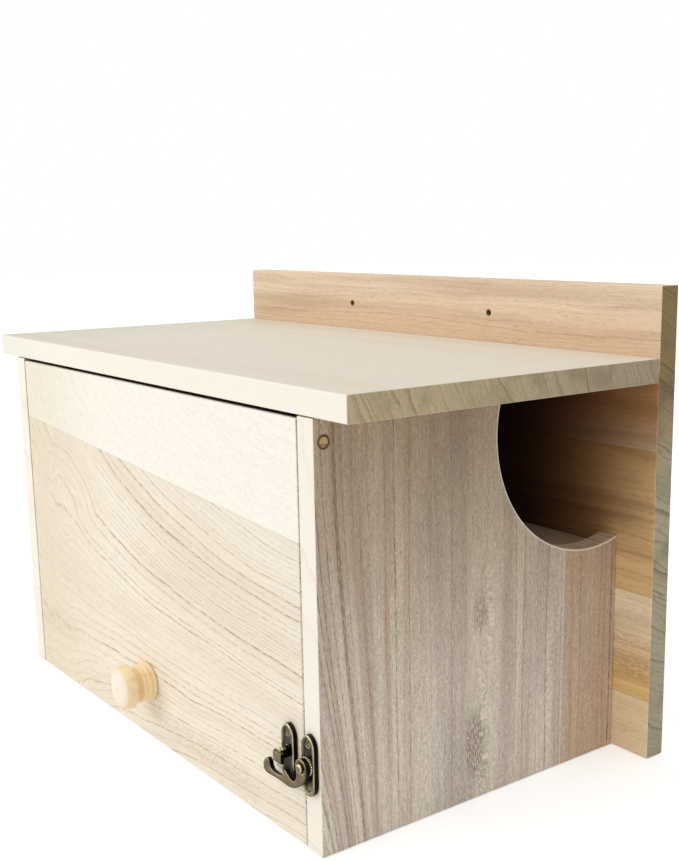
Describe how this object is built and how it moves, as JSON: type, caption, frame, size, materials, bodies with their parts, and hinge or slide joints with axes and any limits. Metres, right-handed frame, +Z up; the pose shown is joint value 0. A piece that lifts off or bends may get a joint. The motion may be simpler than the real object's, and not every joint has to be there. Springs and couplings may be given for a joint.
{
  "type": "squirrel house",
  "caption": "Wooden squirrel nest box with a flat overhanging roof, a tall back board, a curved side entrance, and a top-hinged front door with a knob and a swing latch.",
  "frame": {"origin": "centre of the floor's underside, midway between the front edges of the sides and the front face of the back board", "axes": "+X to the right along the front, towards the side with the entrance; +Y to the back board; +Z up"},
  "size_m": [0.373, 0.2181, 0.242],
  "materials": {
    "pale_wood": "bare planed pale wood",
    "side_wood": "bare planed grey-brown wood",
    "back_wood": "bare planed tan wood",
    "knob_wood": "turned and lightly polished",
    "dowel_wood": "bare",
    "old_brass": "antique, dark with worn edges",
    "zinc": "zinc plated"
  },
  "bodies": {
    "box": {"roof_panel": "pale_wood", "back_panel": "back_wood", "left_side_panel": "side_wood", "right_side_panel": "side_wood", "floor_panel": "pale_wood", "landing_shelf": "pale_wood", "left_pivot_pin": "dowel_wood", "right_pivot_pin": "dowel_wood", "back_screw_left_1": "zinc", "back_screw_left_2": "zinc", "back_screw_left_3": "zinc", "back_screw_right_1": "zinc", "back_screw_right_2": "zinc", "back_screw_floor_1": "zinc", "back_screw_floor_2": "zinc", "back_screw_floor_3": "zinc", "back_screw_roof_1": "zinc", "back_screw_roof_2": "zinc", "back_screw_roof_3": "zinc", "back_screw_shelf_1": "zinc", "back_screw_shelf_2": "zinc", "roof_dowel_left_1": "dowel_wood", "roof_dowel_left_2": "dowel_wood", "roof_dowel_left_3": "dowel_wood", "roof_dowel_right_1": "dowel_wood", "roof_dowel_right_2": "dowel_wood", "floor_dowel_left_1": "dowel_wood", "floor_dowel_left_2": "dowel_wood", "floor_dowel_right_1": "dowel_wood", "floor_dowel_right_2": "dowel_wood", "shelf_dowel_1": "dowel_wood", "shelf_dowel_2": "dowel_wood", "latch_frame_plate": "old_brass", "latch_rivet": "old_brass", "latch_frame_screw_lower": "old_brass", "latch_frame_screw_upper": "old_brass"},
    "door": {"door_panel": "pale_wood", "door_knob": "knob_wood", "knob_screw": "zinc", "latch_door_plate": "old_brass", "latch_door_screw_lower": "old_brass", "latch_door_screw_upper": "old_brass"},
    "latch_arm": {"latch_arm": "old_brass"}
  },
  "joints": [
    {"name": "door_swing", "type": "hinge", "parent": "box", "child": "door", "pos_m": [0, -0.08805, 0.1848], "axis": [-1, 0, 0], "range_deg": [0, 110]},
    {"name": "latch_swing", "type": "hinge", "parent": "box", "child": "latch_arm", "pos_m": [0.156, -0.09685, 0.0419], "axis": [0, -1, 0], "range_deg": [-20, 120]}
  ]
}
